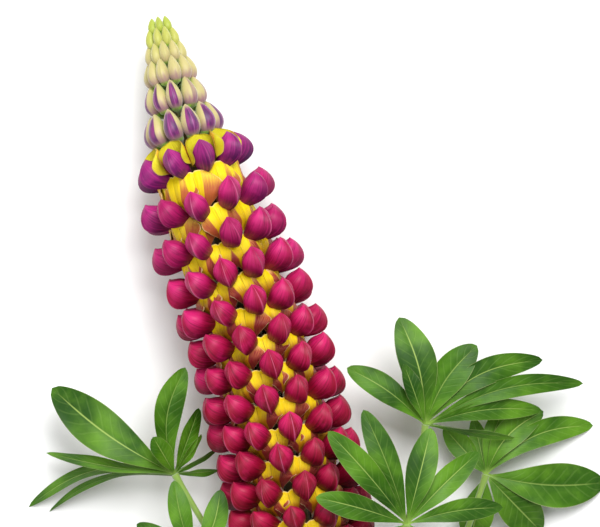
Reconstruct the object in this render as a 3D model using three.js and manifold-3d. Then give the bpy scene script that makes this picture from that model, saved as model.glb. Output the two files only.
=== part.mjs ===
// A picked lupin flower spike, lying on a table with its leaves to either side. Millimetres, +Z up, Y along
// the stem with the bud tip at +Y. The lowest petals lie on the plane Z = 0, pressed to small flat spots.
import * as THREE from "three";
import Module from "manifold-3d";

const wasm = await Module();
wasm.setup();

// ---------------------------------------------------------------- driving sizes
const SPIKE = { length: 300, tipY: 149, bedHeight: 26.2, tipDroop: 6, droopOver: 75, fallFrom: 196 };
const BOW = { middle: -1, swing: 2.3, wave: 190, crest: 45 }; // the stem's gentle sideways curve
const STEM = { topRadius: 1.9, endRadius: 4.1, topAt: 33, sides: 8, step: 14 };
const WHORLS = { count: 13, blooms: 11, firstAt: 55, spacing: 17, crowding: 0.864 };
const CLEAR = 0.35; // the gap kept between pieces that nest
const SLIVER = 0.16; // edges and steps smaller than this are closed up after a cut
const COLLAR = { wall: 1.7, height: 3.4 };
const BUD_ROWS = [
  { at: 41, count: 10, length: 13.2, width: 6.9, lean: 80, root: 9.7 },
  { at: 30, count: 9, length: 12.2, width: 5.9, lean: 80, root: 6.9 },
  { at: 20.5, count: 10, length: 10.8, width: 4.8, lean: 81, root: 6.1 },
  { at: 13.4, count: 9, length: 9.4, width: 4, lean: 82, root: 4.6 },
  { at: 7.4, count: 8, length: 8.2, width: 3.5, lean: 83, root: 3.9 },
  { at: 2.4, count: 6, length: 6.8, width: 3.2, lean: 84, root: 2.4 },
];
const LOOSE_BUD_ROWS = 2; // the lowest bud rows stand apart; the rest are one young cone

// Each leaf: the hub that its leaflets fan out from, where its stalk leaves the stem, and its leaflets. A
// leaflet is [bearing from +Y towards +X, length, width, roll of the blade about its rib, rise of the tip, how
// far the rib bows out to the right], with the angles in degrees.
const LEAVES = {
  leaf_left: {
    hub: [-42, 165, 24],
    from: 250,
    side: -1,
    leaflets: [
      [-39.5, 57, 16.5, 8, -6, -2],
      [-65.5, 50, 6.5, 52, -10, -1],
      [-88, 59, 6.5, 44, -24.4, 8],
      [-92, 52, 4.5, 56, -24.4, 6],
      [22, 41, 11, 20, 8, -5],
      [36, 27, 8, 40, 2, 0],
      [50, 18.5, 5, 55, 0, 0],
      [-12, 17, 8, 30, 10, 0],
      [76, 18.5, 4.5, 60, -2, 0],
      [102, 17, 4.5, 50, -4, 0],
    ],
  },
  leaf_left_low: {
    hub: [-43, 197, 30],
    from: 270,
    side: -1,
    leaflets: [
      [1, 31, 8.5, 15, 2, -1],
      [36, 28, 9, 0, 0, 2],
      [-44, 26, 8, 10, -3, 0],
      [-76, 34, 9, 0, -12, 0],
      [-108, 33, 8, 0, -14, 0],
      [-146, 28, 8, 0, -8, 0],
    ],
  },
  leaf_right_front: {
    hub: [36, 205, 43],
    from: 242,
    side: 1,
    leaflets: [
      [-56, 36, 9.5, 0, 15, 1],
      [-24, 46, 10, 0, 13, 1],
      [-5, 46, 10, 0, 8, 1],
      [30, 37, 11, 0, 0, 0],
      [62, 38, 9.5, 0, -8, -1],
      [98, 37, 8.5, 0, -12, -2],
      [140, 32, 8.5, 0, -13, 0],
      [-160, 30, 8, 0, -8, 0],
      [-100, 30, 8, 0, 4, 0],
    ],
  },
  leaf_right_back: {
    hub: [53, 173, 25],
    from: 256,
    side: 1,
    leaflets: [
      [-38, 37, 10, 10, 4, 2],
      [2, 42, 14, 10, 2, 2.5],
      [-4, 25, 7, 25, 8, 0],
      [49, 36, 13, 0, 0, -3],
      [77.5, 51, 10, 5, -6, -7],
      [92, 62.5, 8, 5, -12, -6],
      [99.5, 45, 8, 10, -10, -3],
      [115, 35, 4.5, 50, -8, 0],
    ],
  },
  leaf_right_far: {
    hub: [70, 198, 14],
    from: 280,
    side: 1,
    leaflets: [
      [-26, 24, 9, 10, -6, 0],
      [4, 22, 7, 10, -6, 0],
      [34, 30, 8, 0, -6, -2],
      [59, 33, 11, 0, -5, -4],
      [83, 46, 10, 0, -14.4, -6],
      [111, 47, 17, 0, -14.4, 2],
      [152, 32, 15, 0, -11, 0],
      [-152, 27, 13, 0, -11, 0],
    ],
  },
};
const BANNER_THICKNESS = 1;
const BLADE_THICKNESS = 0.8;
const STALK_RADIUS = 1.3;

// ---------------------------------------------------------------- colours
const finish = (color, roughness) => new THREE.MeshStandardMaterial({ color, roughness, metalness: 0 });
const STEM_GREEN = finish(0x86a83c, 0.6);
const LEAF_GREEN = finish(0x3f7d2e, 0.55);
const BUD_CREAM = finish(0xd3d38a, 0.55);
const BUD_PURPLE = finish(0x96428f, 0.5);
const YOUNG_BLOOM = new THREE.Color(0xa83a94);
const OLD_BLOOM = new THREE.Color(0x9c1438);
const bloomFinish = (age) => finish(YOUNG_BLOOM.clone().lerp(OLD_BLOOM, age ** 0.5), 0.5);

// ---------------------------------------------------------------- small helpers
const rad = THREE.MathUtils.degToRad;
const smooth = THREE.MathUtils.smoothstep;
const vec = (x, y, z) => new THREE.Vector3(x, y, z);

// A repeatable stream of numbers from -1 to 1.
function wobbler(seed) {
  let state = seed;
  return () => {
    state = (state * 1664525 + 1013904223) % 4294967296;
    return (state / 4294967296) * 2 - 1;
  };
}

// A solid from points and triangles, turned to face outwards.
function solid(points, faces) {
  let volume = 0;
  for (const [a, b, c] of faces)
    volume += points[a].dot(new THREE.Vector3().crossVectors(points[b], points[c]));
  const turned = volume < 0 ? faces.map(([a, b, c]) => [a, c, b]) : faces;
  return new wasm.Manifold(
    new wasm.Mesh({
      numProp: 3,
      vertProperties: new Float32Array(points.flatMap((p) => [p.x, p.y, p.z])),
      triVerts: new Uint32Array(turned.flat()),
    }),
  );
}

// A skin through rings of points that all hold as many points. The first ring is capped. It ends on the last
// ring, or at a tip.
function loft(rings, tip) {
  const n = rings[0].length;
  const points = rings.flat();
  const faces = [];
  for (let i = 0; i + 1 < rings.length; i++)
    for (let j = 0; j < n; j++) {
      const [a, b] = [i * n + j, i * n + ((j + 1) % n)];
      faces.push([a, b, b + n], [a, b + n, a + n]);
    }
  for (let j = 1; j + 1 < n; j++) faces.push([0, j + 1, j]);
  const last = (rings.length - 1) * n;
  if (tip) {
    points.push(tip);
    for (let j = 0; j < n; j++) faces.push([last + j, last + ((j + 1) % n), points.length - 1]);
  } else for (let j = 1; j + 1 < n; j++) faces.push([last, last + j, last + j + 1]);
  return solid(points, faces);
}

const fuse = (solids) => solids.reduce((a, b) => a.add(b));
const largest = (s) => s.decompose().sort((a, b) => b.volume() - a.volume())[0];

// The table, which presses flat what would reach below Z = 0.
const square = (half, z) => [[-1, -1], [1, -1], [1, 1], [-1, 1]].map(([x, y]) => vec(x * half, y * half, z));
const TABLE = loft([square(400, -100), square(400, 0)]);

// Closes up the slivers that cuts leave: one short edge, or one triangle too flat, at a time.
function closeSlivers(points, faces, limit) {
  const normal = ([a, b, c]) =>
    points[b].clone().sub(points[a]).cross(points[c].clone().sub(points[a]));
  const swap = (f, from, to) => f.map((v) => (v === from ? to : v));
  for (let round = 0; round < 400; round++) {
    const near = points.map(() => new Set());
    const across = new Map(); // each directed edge's third corner
    for (const [a, b, c] of faces)
      for (const [p, q, r] of [[a, b, c], [b, c, a], [c, a, b]]) {
        near[p].add(q).add(r);
        across.set(`${p} ${q}`, r);
      }
    const size = (a, b) => points[a].distanceTo(points[b]);
    const edges = faces.flatMap(([a, b, c]) => [[a, b], [b, c], [c, a]]);
    const short = edges.filter(([a, b]) => size(a, b) < limit).sort((e, f) => size(...e) - size(...f));
    const closable = short.find(([a, b]) => {
      if ([...near[a]].filter((v) => near[b].has(v)).length !== 2) return false;
      const moved = faces.filter((f) => f.includes(b) && !f.includes(a));
      return moved.every((f) => normal(f).dot(normal(swap(f, b, a))) > -(limit ** 3));
    });
    if (closable) {
      const [a, b] = closable;
      faces = faces.filter((f) => !(f.includes(a) && f.includes(b))).map((f) => swap(f, b, a));
      continue;
    }
    const flat = edges.find(([a, b]) => {
      const [c, d] = [across.get(`${a} ${b}`), across.get(`${b} ${a}`)];
      const area = normal([a, b, c]).length();
      if (size(a, b) < Math.max(size(b, c), size(c, a)) || area > (limit / 4) * size(a, b)) return false;
      if (near[c].has(d)) return false;
      const beyond = normal([b, a, d]);
      const halves = [normal([a, d, c]), normal([d, b, c])];
      return halves.every((half) => half.length() > 2 * area && beyond.dot(half) > 0);
    });
    if (!flat) break;
    const [a, b] = flat;
    const [c, d] = [across.get(`${a} ${b}`), across.get(`${b} ${a}`)];
    faces = faces.filter((f) => !(f.includes(a) && f.includes(b))).concat([[a, d, c], [d, b, c]]);
  }
  return faces;
}

function mesh(name, shape, material) {
  const made = [1, 2].reduce((s) => s.asOriginal().simplify(SLIVER), shape).getMesh();
  const threes = (list, count) => Array.from({ length: count }, (_, i) => [...list.slice(3 * i, 3 * i + 3)]);
  const points = threes(made.vertProperties, made.numVert).map((p) => vec(...p));
  const faces = threes(made.triVerts, made.numTri);
  const geometry = new THREE.BufferGeometry().setFromPoints(points);
  geometry.setIndex(closeSlivers(points, faces, SLIVER).flat());
  geometry.computeVertexNormals();
  const piece = new THREE.Mesh(geometry, material);
  piece.name = name;
  return piece;
}

// ---------------------------------------------------------------- the stem's line
// The point at a distance s from the bud tip, and the directions to the tip, upwards and to the right there.
function spinePoint(s) {
  const x = BOW.middle - BOW.swing * Math.cos((2 * Math.PI * (s - BOW.crest)) / BOW.wave);
  const droop = SPIKE.tipDroop * Math.max(0, 1 - s / SPIKE.droopOver) ** 2;
  const drop = SPIKE.bedHeight - STEM.endRadius * Math.cos(Math.PI / STEM.sides);
  const fall = drop * smooth(s, SPIKE.fallFrom, SPIKE.length);
  return vec(x, SPIKE.tipY - s, SPIKE.bedHeight - droop - fall);
}

function spine(s) {
  const at = spinePoint(s);
  const toTip = spinePoint(s - 1).sub(spinePoint(s + 1)).normalize();
  const right = toTip.clone().cross(vec(0, 0, 1)).normalize();
  const up = right.clone().cross(toTip);
  return { at, toTip, right, up };
}

function stemRadius(s) {
  const down = Math.min(1, Math.max(0, (s - STEM.topAt) / 190));
  return STEM.topRadius + (STEM.endRadius - STEM.topRadius) * down ** 0.8;
}

function spineRing(s, radius) {
  const { at, up, right } = spine(s);
  return Array.from({ length: STEM.sides }, (_, j) => {
    const turn = (2 * Math.PI * (j + 0.5)) / STEM.sides;
    const [high, wide] = [radius * Math.cos(turn), radius * Math.sin(turn)];
    return at.clone().addScaledVector(up, high).addScaledVector(right, wide);
  });
}

// The stem, or the same line thickened by a skin, which cuts room for it in what it carries.
function stem(skin) {
  const rings = [];
  const steps = Math.round((SPIKE.length - STEM.topAt) / STEM.step);
  for (let i = 0; i <= steps; i++) {
    const s = STEM.topAt + ((SPIKE.length - STEM.topAt) * i) / steps;
    rings.push(spineRing(s, stemRadius(s) + skin));
  }
  return loft(rings);
}

// The swollen joint that a whorl's stalks grow from: a ring round the stem.
function collar(s) {
  const inside = stemRadius(s) + CLEAR;
  const half = COLLAR.height / 2;
  const outside = inside + COLLAR.wall;
  const rings = [spineRing(s - half, inside), spineRing(s, outside), spineRing(s + half, inside)];
  const n = STEM.sides;
  const faces = [];
  for (let i = 0; i < 3; i++)
    for (let j = 0; j < n; j++) {
      const [a, b] = [i * n + j, i * n + ((j + 1) % n)];
      const [c, d] = [((i + 1) % 3) * n + ((j + 1) % n), ((i + 1) % 3) * n + j];
      faces.push([a, b, c], [a, c, d]);
    }
  return solid(rings.flat(), faces);
}

// ---------------------------------------------------------------- blooms
// A bloom's own frame at a stem distance s and a turn round the stem: forward along the pouch, dorsal towards
// the banner, and across. Turn 0 faces up and grows towards +X.
function bloomFrame(s, turn, lift, radius) {
  const { at, toTip, up, right } = spine(s);
  const out = up.clone().multiplyScalar(Math.cos(turn)).addScaledVector(right, Math.sin(turn));
  const forward = out.clone().multiplyScalar(Math.cos(lift)).addScaledVector(toTip, Math.sin(lift));
  const dorsal = toTip.clone().multiplyScalar(Math.cos(lift)).addScaledVector(out, -Math.sin(lift));
  const across = forward.clone().cross(dorsal);
  const base = at.clone().addScaledVector(out, radius);
  const place = (a, d, w) =>
    base.clone().addScaledVector(forward, a).addScaledVector(dorsal, d).addScaledVector(across, w);
  return { out, toTip, at, base, place };
}

// How a whorl's blooms have grown, from the youngest, 0, to the oldest: sizes in mm, lift in degrees.
function growth(k) {
  const young = Math.exp(-k / 1.2);
  const at = (row) => WHORLS.firstAt + WHORLS.spacing * row ** WHORLS.crowding;
  return {
    calyxAt: at(k) + 3 + 2 * Math.exp(-2 * k),
    gap: k ? at(k) - at(k - 1) : 14,
    blooms: WHORLS.blooms - Math.max(0, 2 - k),
    lift: 41 + 17 * Math.exp(-k / 1.5) - 0.4 * k,
    length: 15.2 - 0.7 * young,
    depth: 10,
    width: 9.1 - 0.6 * young,
    reach: 12.2 - 3.2 * Math.exp(-2 * k),
    open: 1 - Math.exp(-k / 0.9),
    age: k / (WHORLS.count - 1),
  };
}

// The stalk, calyx and the two joined wings: a boat-shaped pouch with a ridge below and a blunt tip. Skin
// thickens it.
function pouch(g, frame, size, skin) {
  const [length, depth, width] = [g.length * size, g.depth * size, g.width * size];
  const root = frame.at.clone().addScaledVector(frame.toTip, -g.stalkDrop);
  root.addScaledVector(frame.out, g.rootRadius);
  const stalk = frame.base.clone().sub(root).normalize();
  const side = stalk.clone().cross(frame.out.clone().cross(stalk).normalize());
  const third = stalk.clone().cross(side);
  const rootRing = [[-0.7, 0], [0, 0.7], [0.7, 0], [0, -0.7]].map(([d, w]) =>
    root.clone().addScaledVector(side, d * (1 + skin)).addScaledVector(third, w * (1 + skin)),
  );
  // A section across the pouch: its lower ridge, its widest point and its upper seam.
  const ring = (a, bottom, middle, half, top) =>
    [[bottom - skin, 0], [middle, half + skin], [top + skin, 0], [middle, -half - skin]]
      .map(([d, w]) => frame.place(a, d, w));
  return loft(
    [
      rootRing,
      ring(0, -2.6, -1, 1.9, 0.7),
      ring(0.36 * length, -0.8 * depth, -0.36 * depth, 0.37 * width, 0.6),
      ring(0.72 * length, -0.99 * depth, -0.4 * depth, 0.5 * width, 0.3),
    ],
    frame.place(length + skin, -0.2 * depth, 0),
  );
}

// The banner: a broad petal behind the pouch with a groove down its middle. It lies along the pouch and then
// stands up.
function banner(g, frame, size) {
  const bend = [7 * size, 1.8];
  const stand = rad(18 + 40 * g.open);
  const rise = (5 + 3.4 * g.open) * (g.gap / 13) * size;
  const top = [bend[0] + rise * Math.cos(stand), bend[1] + rise * Math.sin(stand)];
  const section = ([a, d], half, sag) => [
    frame.place(a + sag, d - sag, -half),
    frame.place(a, d, 0),
    frame.place(a + sag, d - sag, half),
    frame.place(a - 0.5 * BANNER_THICKNESS, d + BANNER_THICKNESS, 0),
  ];
  return loft([section(top, 4.2 * size, 0.5), section(bend, 2.8 * size, 0.2)], frame.place(0.4, -1, 0));
}

// One ring of blooms with its collar, and the same pouches thickened, which cut room for them below.
function whorl(k) {
  const g = growth(k);
  const wobble = wobbler(701 + k);
  const s = g.calyxAt;
  g.stalkDrop = (g.reach - stemRadius(s)) * Math.tan(rad(26));
  g.rootRadius = stemRadius(s + g.stalkDrop) + CLEAR + 0.8;
  const solids = [collar(s + g.stalkDrop)];
  const cutters = [];
  const pitch = 360 / g.blooms;
  const phase = k % 2 ? -0.2 : 0.3 + 0.2 * Math.exp(-k);
  for (let i = 0; i < g.blooms; i++) {
    const turn = rad((phase + i) * pitch + 3 * wobble());
    const frame = bloomFrame(s + 0.8 * wobble(), turn, rad(g.lift + 2 * wobble()), g.reach);
    const size = 1 + 0.04 * wobble();
    solids.push(pouch(g, frame, size, 0), banner(g, frame, size));
    cutters.push(pouch(g, frame, size, CLEAR));
  }
  cutters.push(collar(s + g.stalkDrop));
  return { solids, cutters, age: g.age };
}

// ---------------------------------------------------------------- buds
// A bud: a pointed egg on a short stalk from the stem, bent in to the stem at its tip. Skin thickens it.
function bud(row, turn, lean, skin) {
  const frame = bloomFrame(row.at + (row.length / 2) * Math.sin(rad(row.lean)), turn, lean, row.root);
  const half = row.width / 2 + skin;
  const ring = (a, share, sag) =>
    [0, 1, 2, 3].map((j) => {
      const t = (Math.PI * j) / 2;
      const [d, w] = [-half * share * 1.1 * Math.cos(t), half * share * Math.sin(t)];
      return frame.place(a * row.length, d - sag * row.width, w);
    });
  const inwards = frame.out.clone().multiplyScalar(-Math.max(0.3, row.root - row.rootRadius));
  const foot = [0, 1, 2, 3].map((j) => {
    const t = (Math.PI * j) / 2;
    return frame.place(-1.4, 0.2 - (0.8 + skin) * Math.cos(t), (0.8 + skin) * Math.sin(t)).add(inwards);
  });
  const tip = frame.place(row.length + skin, 0.12 * row.width, 0);
  const belly = row.length > 11 ? [ring(0.4, 1, 0.1), ring(0.74, 0.74, 0.06)] : [ring(0.5, 1, 0.08)];
  return loft([foot, ring(0.1, 0.72, 0), ...belly], tip);
}

// One ring of buds, the same buds thickened, and where on the stem their collar goes.
function budRow(index) {
  const row = BUD_ROWS[index];
  const wobble = wobbler(31 + index);
  const rootAt = row.at + (row.length / 2) * Math.sin(rad(row.lean)) + 1.2;
  row.rootRadius = index < LOOSE_BUD_ROWS ? stemRadius(rootAt) + CLEAR + 0.8 : 0.6;
  const solids = [];
  const cutters = [];
  const phase = index % 2 ? 0 : 0.5;
  for (let i = 0; i < row.count; i++) {
    const turn = rad(((phase + i) * 360) / row.count + 3 * wobble());
    const lean = rad(row.lean + 2 * wobble());
    solids.push(bud(row, turn, lean, 0));
    cutters.push(bud(row, turn, lean, CLEAR));
  }
  return { solids, cutters, rootAt };
}

// ---------------------------------------------------------------- leaves
// One leaflet from the hub: a blade folded along its rib, widest past its middle and blunt at its tip. The
// rib arches over and bows to one side.
function leaflet(hub, [bearing, length, width, roll, rise, bow]) {
  const ahead = vec(Math.sin(rad(bearing)), Math.cos(rad(bearing)), 0);
  const beside = vec(ahead.y, -ahead.x, 0);
  const [level, steep] = [Math.cos(rad(roll)), Math.sin(rad(roll))];
  const rib = (t) => {
    const arch = Math.sin(Math.PI * t);
    const flat = hub.clone().addScaledVector(ahead, length * t).addScaledVector(beside, bow * arch);
    return flat.add(vec(0, 0, rise * t + 0.09 * length * arch));
  };
  const ring = (t) => {
    const slant = (bow * Math.PI * Math.cos(Math.PI * t)) / length;
    const side = beside.clone().addScaledVector(ahead, -slant).normalize();
    const across = side.clone().multiplyScalar(level).add(vec(0, 0, -steep));
    const lift = side.clone().multiplyScalar(steep).add(vec(0, 0, level));
    const half = Math.max(0.45, (width / 2) * Math.sin(Math.PI * t ** 1.4) ** (0.9 - 0.32 * t));
    const p = rib(t);
    const edge = 0.28 * half;
    return [
      p.clone().addScaledVector(across, half).addScaledVector(lift, edge),
      p.clone(),
      p.clone().addScaledVector(across, -half).addScaledVector(lift, edge),
      p.clone().addScaledVector(lift, -BLADE_THICKNESS),
    ];
  };
  return loft([0, 0.2, 0.45, 0.7, 0.9].map(ring), rib(1));
}

// A stalk from the stem to the hub, leaving the stem sideways and curving towards the bud tip.
function stalk({ hub, from, side }) {
  const { at, toTip, right, up } = spine(from);
  const end = hubPoint(hub);
  const start = at.clone().addScaledVector(right, side * (stemRadius(from) + CLEAR));
  const rise = up.clone().multiplyScalar(end.z > 35 ? 12 : 4);
  const curve = new THREE.CubicBezierCurve3(
    start,
    start.clone().addScaledVector(right, side * 16).addScaledVector(toTip, 8).add(rise),
    end.clone().lerp(start, 0.35).addScaledVector(right, side * 5),
    end,
  );
  const rings = [];
  const steps = 7;
  for (let i = 0; i <= steps; i++) {
    const p = curve.getPoint(i / steps);
    const dir = curve.getTangent(i / steps);
    const flat = dir.clone().cross(vec(0, 0, 1)).normalize();
    const high = flat.clone().cross(dir);
    const radius = STALK_RADIUS * (i === 0 ? 1.5 : 1);
    const ring = [0, 1, 2, 3, 4].map((j) => {
      const t = (2 * Math.PI * j) / 5;
      const [wide, tall] = [radius * Math.cos(t), radius * Math.sin(t)];
      return p.clone().addScaledVector(flat, wide).addScaledVector(high, tall);
    });
    rings.push(ring);
  }
  return loft(rings);
}

// A hub is given as its distance to the right, its distance from the bud tip and its height.
const hubPoint = ([x, s, z]) => vec(x, SPIKE.tipY - s, z);

function leaf(plan) {
  const hub = hubPoint(plan.hub);
  return fuse([stalk(plan), ...plan.leaflets.map((one) => leaflet(hub, one))]);
}

// ---------------------------------------------------------------- the whole flower
const flower = new THREE.Group();
flower.add(mesh("stem", stem(0), STEM_GREEN));
const sleeve = stem(0.8 * CLEAR);

// The young cone: the top bud rows on a slim core, cut clear of the stem's end and of the rows below.
const rows = BUD_ROWS.map((_, index) => budRow(index));
const coneRows = rows.slice(LOOSE_BUD_ROWS);
const core = loft(
  [STEM.topAt - CLEAR, 22, 12, 5].map((s) => spineRing(s, 1.9 - (STEM.topAt - s) * 0.03)),
  spine(-1).at,
);
const cone = fuse([core, ...coneRows.flatMap((r) => r.solids)]);
flower.add(mesh("bud_tip", largest(cone), BUD_CREAM));

// From the top down, each ring is cut clear of the ring above it.
let above = fuse([...coneRows.flatMap((r) => r.cutters)]);
for (let index = LOOSE_BUD_ROWS - 1; index >= 0; index--) {
  const ring = fuse([collar(rows[index].rootAt), ...rows[index].solids]).subtract(above).subtract(sleeve);
  flower.add(mesh(`bud_whorl_${LOOSE_BUD_ROWS - index}`, largest(ring), index ? BUD_CREAM : BUD_PURPLE));
  above = fuse([...rows[index].cutters, collar(rows[index].rootAt)]);
}
for (let k = 0; k < WHORLS.count; k++) {
  const { solids, cutters, age } = whorl(k);
  const ring = fuse(solids).subtract(above).subtract(sleeve).subtract(TABLE);
  flower.add(mesh(`bloom_whorl_${String(k + 1).padStart(2, "0")}`, largest(ring), bloomFinish(age)));
  above = fuse(cutters);
}
for (const [name, plan] of Object.entries(LEAVES)) {
  const shape = leaf(plan).subtract(sleeve).subtract(TABLE);
  flower.add(mesh(name, largest(shape), LEAF_GREEN));
}

// The origin is on the table, under the middle of the flower's box.
const box = new THREE.Box3().setFromObject(flower, true);
const middle = box.getCenter(new THREE.Vector3());
flower.position.set(-middle.x, -middle.y, -box.min.z);

export default flower;
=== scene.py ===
"""A picked lupin flower spike lying on a pale table: whorls of pouch-shaped blooms with yellow banners,
a cone of buds, a downy stem and palmate leaves. All lengths are in millimetres until a mesh is made, and
places along the stem are counted from the bud tip."""

import math

import bpy
import numpy as np
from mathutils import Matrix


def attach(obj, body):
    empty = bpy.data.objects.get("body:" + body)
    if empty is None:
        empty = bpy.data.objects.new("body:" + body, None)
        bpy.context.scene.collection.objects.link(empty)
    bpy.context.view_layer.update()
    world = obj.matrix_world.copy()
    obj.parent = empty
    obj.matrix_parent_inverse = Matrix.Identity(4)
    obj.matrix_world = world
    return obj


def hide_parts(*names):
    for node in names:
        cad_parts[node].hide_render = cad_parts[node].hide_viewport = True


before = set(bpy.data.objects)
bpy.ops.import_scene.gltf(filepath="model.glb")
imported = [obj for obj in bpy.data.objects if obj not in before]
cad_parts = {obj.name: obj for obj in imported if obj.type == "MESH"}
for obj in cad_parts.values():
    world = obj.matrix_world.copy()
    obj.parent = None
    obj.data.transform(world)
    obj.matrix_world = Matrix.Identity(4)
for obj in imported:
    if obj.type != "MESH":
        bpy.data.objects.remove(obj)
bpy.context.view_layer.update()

MM = 0.001
TAU = 2 * math.pi

# ---------------------------------------------------------------- sizes, as the solids have them
TIP_Y, BED, TIP_DROOP, DROOP_OVER, FALL_FROM, LENGTH = 149, 26.2, 6, 75, 196, 300
BOW_MIDDLE, BOW_SWING, BOW_WAVE, BOW_CREST = -1, 2.3, 190, 45
STEM_TOP, STEM_THIN, STEM_THICK = 33, 1.9, 4.1
WHORLS, BLOOMS, FIRST_AT, SPACING, CROWDING = 13, 11, 55, 17, 0.864
CLEAR = 0.35
# the origin is under the middle of the flower's box
SHIFT = np.array([-7.542, 0.4575, 0])
# in the dressed flower only: a banner's thickness, and how far a leaflet stops short of the solid's tip
BANNER_THICK, TIP_SHORT = 0.3, 0.7
# how many bud rows stand on the stem itself; the others stand on its thin end
ROWS_ON_STEM = 2
# at, count, length, width, lean, root radius
BUD_ROWS = [
    (41, 10, 13.2, 6.9, 80, 9.7),
    (30, 9, 12.2, 5.9, 80, 6.9),
    (20.5, 10, 10.8, 4.8, 81, 6.1),
    (13.4, 9, 9.4, 4, 82, 4.6),
    (7.4, 8, 8.2, 3.5, 83, 3.9),
    (2.4, 6, 6.8, 3.2, 84, 2.4),
]
# hub (to the right, from the tip, height), where the stalk leaves the stem, side, and leaflets:
# bearing, length, width, roll, rise, how far the rib bows out to the right
LEAVES = {
    "leaf_left": (
        (-42, 165, 24), 250, -1,
        [(-39.5, 57, 16.5, 8, -6, -2), (-65.5, 50, 6.5, 52, -10, -1), (-88, 59, 6.5, 44, -24.4, 8),
         (-92, 52, 4.5, 56, -24.4, 6), (22, 41, 11, 20, 8, -5), (36, 27, 8, 40, 2, 0),
         (50, 18.5, 5, 55, 0, 0), (-12, 17, 8, 30, 10, 0), (76, 18.5, 4.5, 60, -2, 0),
         (102, 17, 4.5, 50, -4, 0)],
    ),
    "leaf_left_low": (
        (-43, 197, 30), 270, -1,
        [(1, 31, 8.5, 15, 2, -1), (36, 28, 9, 0, 0, 2), (-44, 26, 8, 10, -3, 0), (-76, 34, 9, 0, -12, 0),
         (-108, 33, 8, 0, -14, 0), (-146, 28, 8, 0, -8, 0)],
    ),
    "leaf_right_front": (
        (36, 205, 43), 242, 1,
        [(-56, 36, 9.5, 0, 15, 1), (-24, 46, 10, 0, 13, 1), (-5, 46, 10, 0, 8, 1), (30, 37, 11, 0, 0, 0),
         (62, 38, 9.5, 0, -8, -1), (98, 37, 8.5, 0, -12, -2), (140, 32, 8.5, 0, -13, 0),
         (-160, 30, 8, 0, -8, 0), (-100, 30, 8, 0, 4, 0)],
    ),
    "leaf_right_back": (
        (53, 173, 25), 256, 1,
        [(-38, 37, 10, 10, 4, 2), (2, 42, 14, 10, 2, 2.5), (-4, 25, 7, 25, 8, 0), (49, 36, 13, 0, 0, -3),
         (77.5, 51, 10, 5, -6, -7), (92, 62.5, 8, 5, -12, -6), (99.5, 45, 8, 10, -10, -3),
         (115, 35, 4.5, 50, -8, 0)],
    ),
    "leaf_right_far": (
        (70, 198, 14), 280, 1,
        [(-26, 24, 9, 10, -6, 0), (4, 22, 7, 10, -6, 0), (34, 30, 8, 0, -6, -2), (59, 33, 11, 0, -5, -4),
         (83, 46, 10, 0, -14.4, -6), (111, 47, 17, 0, -14.4, 2), (152, 32, 15, 0, -11, 0),
         (-152, 27, 13, 0, -11, 0)],
    ),
}


# ---------------------------------------------------------------- numbers
def wobbler(seed):
    """A repeatable stream of numbers from -1 to 1."""
    state = seed
    while True:
        state = (state * 1664525 + 1013904223) % 4294967296
        yield state / 2147483648 - 1


def smooth(x, lo, hi):
    """0 below lo, 1 above hi and a cubic step between."""
    t = np.clip((np.asarray(x, float) - lo) / (hi - lo), 0, 1)
    return t * t * (3 - 2 * t)


def unit(v):
    """Each vector divided by its length."""
    return v / np.linalg.norm(v, axis=-1, keepdims=True)


def triple(x, y, z):
    """Three numbers for each point, spread to one shape."""
    return np.stack(np.broadcast_arrays(x, y, z), -1)


def settle(points):
    """What would lie under the table is pressed flat on it: below 1 mm the height fades exponentially."""
    z = points[..., 2]
    points[..., 2] = np.where(z < 1, np.exp(np.minimum(z, 1) - 1), z)
    return points


# ---------------------------------------------------------------- the stem's line
def spine_point(s):
    """A sideways cosine wave, level over the blooms, drooping to the bud tip and falling to the cut end."""
    s = np.asarray(s, float)
    x = BOW_MIDDLE - BOW_SWING * np.cos(TAU * (s - BOW_CREST) / BOW_WAVE)
    droop = TIP_DROOP * np.maximum(0, 1 - s / DROOP_OVER) ** 2
    fall = (BED - STEM_THICK * math.cos(math.pi / 8)) * smooth(s, FALL_FROM, LENGTH)
    return np.stack([x, TIP_Y - s, BED - droop - fall], -1)


def spine(s):
    """The point at s and the directions to the tip, upwards and to the right there."""
    to_tip = unit(spine_point(np.asarray(s) - 1.0) - spine_point(np.asarray(s) + 1.0))
    right = unit(np.cross(to_tip, np.array([0, 0, 1.0])))
    return spine_point(s), to_tip, np.cross(right, to_tip), right


def stem_radius(s):
    """The stem thickens on a low power of the distance from its top."""
    down = np.clip((np.asarray(s, float) - STEM_TOP) / 190, 0, 1)
    return STEM_THIN + (STEM_THICK - STEM_THIN) * down**0.8


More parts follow.
